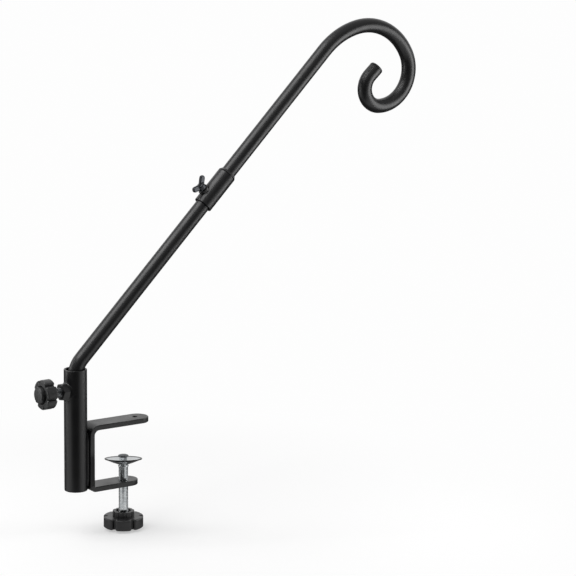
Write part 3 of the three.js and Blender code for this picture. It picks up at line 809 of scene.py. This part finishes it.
sleeve_start = 174.7 * mm
lower_insert = 20 * mm
bend_tangent = pole_bend * math.tan(math.radians(pole_lean) / 2)
tube = TubeBender(pole_radius, pole_bore, 48)
tube.push(pole_corner - bend_tangent - pole_foot)
tube.bend(pole_bend, pole_lean)
tube.push(sleeve_start + lower_insert - bend_tangent)
shape = placed(tube.cut(pole_edge), (post_at, 0, pole_foot))
finished(shape, "lower_pole_coated", "lower_pole", "pole", black_coat)

# Plug in the pole's foot
# A black polyethylene plug, out of sight inside the post. The CAD solid is its shape.

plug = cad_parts["pole_foot_plug"]
plug.data.materials.clear()
plug.data.materials.append(black_plastic)

# Sleeve that joins the two lengths of pole
# A short steel tube, 16.2 mm across, slipped over the end of the hook length and welded to it
# at its upper rim. The lower length stands in it with a little play.

lean_at = Vector((post_at, 0, pole_corner))
lean_way = Vector((math.sin(math.radians(pole_lean)), 0, math.cos(math.radians(pole_lean))))
sleeve_end = 207.9 * mm
sleeve_radius = 8.1 * mm
sleeve_bore = 6.8 * mm
sleeve_edge = 0.4 * mm

shape = turned([(sleeve_bore, sleeve_start), (sleeve_radius, sleeve_start),
                (sleeve_radius, sleeve_end), (sleeve_bore, sleeve_end)], 64)
soften(shape, corner_edges(shape, 50), sleeve_edge, 3)
finished(placed(shape, lean_at, pole_lean), "joint_sleeve_coated", "joint_sleeve", "hook",
         black_coat)

# Weld ring above the sleeve
# The fillet of weld that closes the sleeve's upper rim on the pole, lightly rippled and coated.

weld_foot = 208.2 * mm
weld_length = 2.2 * mm
weld_inner = 6.5 * mm
weld_rounding = ((0.25 * mm, 0.6 * mm), (0.75 * mm, 1.25 * mm))
weld_tip = 0.25 * mm
weld_ripple = 0.1 * mm
weld_ripples = 26

shape = turned([(weld_inner, weld_foot), (sleeve_radius, weld_foot)]
               + [(sleeve_radius - inward, weld_foot + rise) for inward, rise in weld_rounding]
               + [(weld_inner + weld_tip, weld_foot + weld_length),
                  (weld_inner, weld_foot + weld_length)], 96)
for v in shape.verts:
    wave = weld_ripple * math.sin(math.atan2(v.co.y, v.co.x) * weld_ripples)
    v.co.z += wave * (v.co.z - weld_foot) / weld_length
finished(placed(shape, lean_at, pole_lean), "sleeve_weld_ring", "sleeve_weld", "weld_ring",
         black_coat, sharp=80)

# Hook length of pole
# The same tube, straight out of the sleeve and then bent round four formers, each tighter than
# the last, into a spiral that the pot's hanger settles in.

hook_foot = 195 * mm
curl_start = 348 * mm
curl_radii = (66 * mm, 48.5 * mm, 30.5 * mm, 15.6 * mm)
curl_angles = (34, 74, 120, 135)
curl_tail = 8 * mm

tube = TubeBender(pole_radius, pole_bore, 48)
tube.push(curl_start - hook_foot)
for former, angle in zip(curl_radii, curl_angles):
    tube.bend(former, angle)
tube.push(curl_tail)
hook_tip = lean_at + lean_way * hook_foot
hook_turn = math.degrees(tube.heading)
tip = tube.point.copy()
shape = placed(tube.cut(pole_edge), hook_tip, pole_lean)
finished(shape, "hook_pole_coated", "hook_pole", "hook", black_coat)

# Plug in the end of the curl
# A black plastic plug pressed into the tube, with a flange as wide as the tube and a rounded rim.

plug_gap = 0.3 * mm
plug_flange = 2 * mm
plug_stem = 4.75 * mm
plug_depth = 8 * mm
plug_overlap = 0.05 * mm
plug_rounding = ((1, 0), (1, 0.45), (0.95, 0.78), (0.82, 0.94), (0.5, 1), (0, 1))

tip_place = hook_tip + Matrix.Rotation(math.radians(pole_lean), 3, "Y") @ tip
shape = turned([(0, plug_gap)] + [(pole_radius * share, plug_gap + plug_flange * rise)
                                  for share, rise in plug_rounding], 48)
joined(shape, turned([(0, -plug_depth), (plug_stem, -plug_depth),
                      (plug_stem, plug_gap + plug_overlap), (0, plug_gap + plug_overlap)], 48))
finished(placed(shape, tip_place, pole_lean + hook_turn), "hook_end_cap", "hook_end_plug", "hook",
         black_plastic, sharp=35)

# Boss for the wing screw
# A tapped steel bush welded to the side of the sleeve, faced off square and coated with it.

wing_place = 184.7 * mm
wing_at = lean_at + lean_way * wing_place
wing_lean = pole_lean - 90
boss_radius = 4.8 * mm
boss_foot = 7.2 * mm
boss_face = 9.6 * mm
boss_bore = 2.8 * mm
boss_edge = 0.3 * mm

shape = turned([(boss_bore, boss_foot), (boss_radius, boss_foot), (boss_radius, boss_face),
                (boss_bore, boss_face)], 48)
soften(shape, corner_edges(shape, 50), boss_edge, 2)
finished(placed(shape, wing_at, wing_lean), "wing_screw_bush", "wing_screw_boss", "hook",
         black_coat)

# Wing screw
# An M5 screw of zinc-plated steel, seen only in the gap between the bush and its head. Its end
# bears on the lower pole.

m5_radius = 2.5 * mm
m5_pitch = 0.8 * mm
wing_screw_end = 6.6 * mm
wing_screw_head = 12.8 * mm

shape = threaded_bar(m5_radius, m5_pitch, wing_screw_end, wing_screw_head)
finished(placed(shape, wing_at, wing_lean), "wing_screw_threaded", "wing_screw", "wing_stud",
         bright_zinc, sharp=50)

# Wing head
# Cast steel in dark zinc: a round hub with two thumb wings that flare out from it, every edge
# rounded by the tumbling barrel.

hub_foot = 10.4 * mm
hub_top = 14.5 * mm
hub_radius = 3.75 * mm
hub_bore = 2.6 * mm
hub_chamfer = 0.3 * mm
hub_rounding = ((0, 0.9 * mm), (0.35 * mm, 0.25 * mm), (0.9 * mm, 0))
wing_length = 9.6 * mm
wing_width = 4.8 * mm
wing_thickness = 2.8 * mm
wing_edge = 0.9 * mm
wing_angle = 61.0
wing_turn = 12.5


def cast_zinc(name, shade, highlight):
    """A small casting, tumbled and plated in dark zinc: gunmetal, uneven in its shine."""
    finish, tree = new_finish(name)
    coords = add_node(tree, "ShaderNodeTexCoord", {})
    skin = add_node(tree, "ShaderNodeTexNoise", {
        "Vector": coords.outputs["Object"], "Scale": 1 / (0.6 * mm), "Detail": 4.0})
    tint = add_node(tree, "ShaderNodeValToRGB", {"Fac": skin.outputs["Fac"]})
    tint.color_ramp.elements[0].position = 0.3
    tint.color_ramp.elements[0].color = linear(shade)
    tint.color_ramp.elements[1].position = 0.75
    tint.color_ramp.elements[1].color = linear(highlight)
    relief = add_node(tree, "ShaderNodeBump", {
        "Height": skin.outputs["Fac"], "Strength": 0.3, "Distance": 0.1 * mm})
    plate = add_node(tree, "ShaderNodeBsdfPrincipled", {
        "Base Color": tint.outputs["Color"], "Metallic": 1.0, "Roughness": 0.36,
        "Normal": relief.outputs["Normal"]})
    add_node(tree, "ShaderNodeOutputMaterial", {"Surface": plate.outputs[0]})
    return finish


dark_zinc = cast_zinc("dark_zinc_casting", "#2a2b2d", "#505255")


def thumb_wing(side):
    """One wing: a round-ended blade that leans out from the hub."""
    shape = bmesh.new()
    half = wing_width / 2
    reach = wing_length - half
    base = -wing_thickness / 2
    low = shape.verts.new((0, -half, base))
    outer = shape.verts.new((reach, -half, base))
    shape.edges.new((low, outer))
    round_end = bmesh.ops.spin(shape, geom=[outer], cent=(reach, 0, base), axis=(0, 0, 1),
                               angle=math.pi, steps=16)
    last = picked(round_end["geom_last"], BMVert)[0]
    high = shape.verts.new((0, half, base))
    shape.edges.new((last, high))
    shape.edges.new((high, low))
    raised(shape, bmesh.ops.contextual_create(shape, geom=shape.edges[:])["faces"], wing_thickness)
    soften(shape, corner_edges(shape, 60), wing_edge, 3)
    stand = (Matrix.Rotation(math.radians(side * wing_angle - 90), 4, "Y")
             @ Matrix.Rotation(math.pi / 2, 4, "X"))
    bmesh.ops.transform(shape, matrix=Matrix.Translation((0, 0, (hub_foot + hub_top) / 2)) @ stand,
                        verts=shape.verts)
    return shape


shape = turned([(hub_bore, hub_foot), (hub_radius - hub_chamfer, hub_foot),
                (hub_radius, hub_foot + hub_chamfer)]
               + [(hub_radius - inward, hub_top - drop) for inward, drop in hub_rounding]
               + [(0, hub_top)], 48)
joined(shape, thumb_wing(1))
joined(shape, thumb_wing(-1))
finished(placed(rolled(shape, wing_turn), wing_at, wing_lean), "wing_head_cast", "wing_head",
         "wing_grip", dark_zinc, sharp=45)

# Clamp screw
# A long M8 screw of zinc-plated steel with a rolled thread, necked down at its top and peened
# over to a button that traps the pad. The button and the top of the neck are drawn in a darker,
# rougher zinc.

screw_foot = -86.5 * mm
shoulder = -37.28 * mm
neck_radius = 3.2 * mm
neck_sunk = 0.5 * mm
neck_into_button = 0.2 * mm
button_foot = -28.6 * mm
button_radius = 4.4 * mm
button_top = -27 * mm
button_wall = 0.5 * mm
button_rounding = ((0.96, 0.65 * mm), (0.84, 0.3 * mm), (0.6, 0.08 * mm), (0, 0))
darker_zinc_from = -31.8 * mm

shape = threaded_bar(m8_radius, m8_pitch, screw_foot, shoulder)
neck_foot = shoulder - neck_sunk
neck_top = button_foot + neck_into_button
joined(shape, turned([(0, neck_foot), (neck_radius, neck_foot), (neck_radius, neck_top),
                      (0, neck_top)], 40))
joined(shape, turned([(0, button_foot), (button_radius, button_foot),
                      (button_radius, button_foot + button_wall)]
                     + [(button_radius * share, button_top - drop)
                        for share, drop in button_rounding], 40))
spindle = finished(shape, "clamp_screw_threaded", "clamp_screw", "clamp_spindle",
                   bright_zinc, sharp=50)
# Above the given height, the button and the neck take a darker, rougher zinc
spindle.data.materials.append(zinc_plate("darker_button_zinc", "#4a4c4e", "#76787a", 0.42))
for face in spindle.data.polygons:
    face.material_index = 1 if face.center.z > darker_zinc_from else 0

# Washer under the pad
# A small zinc-plated ring pressed on the screw's neck, on which the pad rests and tips.

washer_bore = 3.5 * mm
washer_radius = 4.4 * mm
washer_foot = -36.98 * mm
washer_top = -36.08 * mm
washer_edge = 0.2 * mm

shape = turned([(washer_bore, washer_foot), (washer_radius, washer_foot),
                (washer_radius, washer_top), (washer_bore, washer_top)], 48)
soften(shape, corner_edges(shape, 50), washer_edge, 2)
finished(shape, "pad_foot_washer", "pad_washer", "washer", bright_zinc)

# Swivel pad
# A shallow dish pressed from sheet steel and zinc plated, with a short upright lip; the plate is
# drawn near black in a band at the rim. It sits loose on the screw's neck and lies tipped to one
# side.

pad_pivot = Vector((0, 0, -34.45 * mm))
pad_rim = 15.75 * mm
pad_bore = 3.8 * mm
pad_flat = 1.1 * mm
pad_floor = 0.65 * mm
pad_depth = 4.15 * mm
pad_flare_outside = ((9 * mm, 0.75 * mm), (13 * mm, 2.45 * mm))
pad_flare_inside = ((12.5 * mm, 3.1 * mm), (8.5 * mm, 1.75 * mm))
pad_lip_height = 0.75 * mm
pad_lip_width = 0.9 * mm
pad_edge = 0.25 * mm
dark_rim_fade = 2.0 * mm
dark_rim_band = 1.2 * mm
pad_tip = 8.0
pad_heading = 149.5


def pressed_zinc(name, shade, highlight, rim_colour):
    """Zinc plate on pressed sheet: faint rings from the press tool, and a near-black band at the
    rim.
    """
    finish, tree = new_finish(name)
    coords = add_node(tree, "ShaderNodeTexCoord", {})
    centred = add_node(tree, "ShaderNodeMapping", {
        "Vector": coords.outputs["Object"], "Location": -pad_pivot})
    rings = add_node(tree, "ShaderNodeTexWave", {
        "Vector": centred.outputs[0], "Scale": 1 / (6 * mm), "Distortion": 1.2, "Detail": 2.0},
        wave_type="RINGS", rings_direction="Z")
    tint = add_node(tree, "ShaderNodeValToRGB", {"Fac": rings.outputs["Fac"]})
    tint.color_ramp.elements[0].color = linear(shade)
    tint.color_ramp.elements[1].color = linear(highlight)
    flat = add_node(tree, "ShaderNodeVectorMath", {0: centred.outputs[0], 1: (1, 1, 0)},
                    operation="MULTIPLY")
    outward = add_node(tree, "ShaderNodeVectorMath", {0: flat.outputs[0]}, operation="LENGTH")
    # Darker towards the rim: near black in a band that runs out to the lip
    dark_rim_mask = add_node(tree, "ShaderNodeMapRange", {
        "Value": outward.outputs["Value"],
        "From Min": pad_rim - dark_rim_fade, "From Max": pad_rim - dark_rim_band})
    rim_darkened = add_node(tree, "ShaderNodeMix", {
        0: dark_rim_mask.outputs[0], 6: tint.outputs["Color"], 7: linear(rim_colour)}, data_type="RGBA")
    plate = add_node(tree, "ShaderNodeBsdfPrincipled", {
        "Base Color": rim_darkened.outputs[2], "Metallic": 1.0, "Roughness": 0.32})
    add_node(tree, "ShaderNodeOutputMaterial", {"Surface": plate.outputs[0]})
    return finish


pad_finish = pressed_zinc("pressed_zinc_plate", "#bcbfc1", "#cfd1d2", "#1c1c1d")
shape = turned([(pad_bore, -pad_floor), (pad_bore + pad_flat, -pad_floor), *pad_flare_outside,
                (pad_rim, pad_depth - pad_lip_height), (pad_rim, pad_depth),
                (pad_rim - pad_lip_width, pad_depth), *pad_flare_inside,
                (pad_bore + pad_flat, pad_floor), (pad_bore, pad_floor)], 96)
soften(shape, corner_edges(shape, 50), pad_edge, 2)
rolled(rolled(shape, pad_tip, "X"), pad_heading)
finished(placed(shape, pad_pivot), "swivel_pad", "pad_dish", "pad", pad_finish)

# Clamp knob
# The bigger six-lobed grip under the lower arm, moulded like the first one, with a fluted
# collar round the screw.

grip_top = -80 * mm
grip_foot = -89.2 * mm
grip_rim = 16.9 * mm
grip_valley = 1.2 * mm
grip_valley_depth = 3.4 * mm
grip_lobe_corner = 1.8 * mm
grip_turn = 29.0
grip_edge = 1.3 * mm
grip_well = 8.1 * mm
grip_well_depth = 2.4 * mm
collar_top = -75.4 * mm
collar_overlap = 0.6 * mm
collar_radius = 9.05 * mm
collar_flutes = 10
collar_flute = 1.2 * mm
collar_flute_depth = 0.6 * mm
collar_flute_corner = 0.4 * mm
collar_edge = 0.3 * mm
collar_recess = 6.3 * mm
collar_recess_depth = 3 * mm

shape = bmesh.new()
raised(shape, lobed_face(shape, grip_rim, grip_valley, grip_valley_depth, grip_lobe_corner, lobes,
                         grip_foot, grip_turn), grip_top - grip_foot)
soften(shape, corner_edges(shape, 60), grip_edge, 4)
sunk(shape, grip_foot, grip_well, grip_well_depth, 64)
collar = bmesh.new()
raised(collar, lobed_face(collar, collar_radius, collar_flute, collar_flute_depth,
                          collar_flute_corner, collar_flutes, grip_top - collar_overlap, 0.0),
       collar_top - grip_top + collar_overlap)
soften(collar, corner_edges(collar, 70), collar_edge, 2)
sunk(collar, collar_top, collar_recess, -collar_recess_depth, 48)
joined(shape, collar)
finished(shape, "clamp_knob_grip", "clamp_knob", "clamp_spindle",
         black_plastic, sharp=45)

# Cap of the clamp knob
# The snap-in disc in the underside of that knob. It is drawn face up and turned over.

grip_cap_radius = 7.3 * mm
grip_cap_foot = 87.1 * mm
grip_cap_face = 90.6 * mm
grip_cap_crown = 0.8 * mm

shape = rolled(crowned_cap(grip_cap_radius, grip_cap_foot, grip_cap_face, grip_cap_crown), 180, "X")
finished(shape, "clamp_knob_cover", "clamp_knob_cap", "clamp_spindle",
         black_plastic, sharp=35)
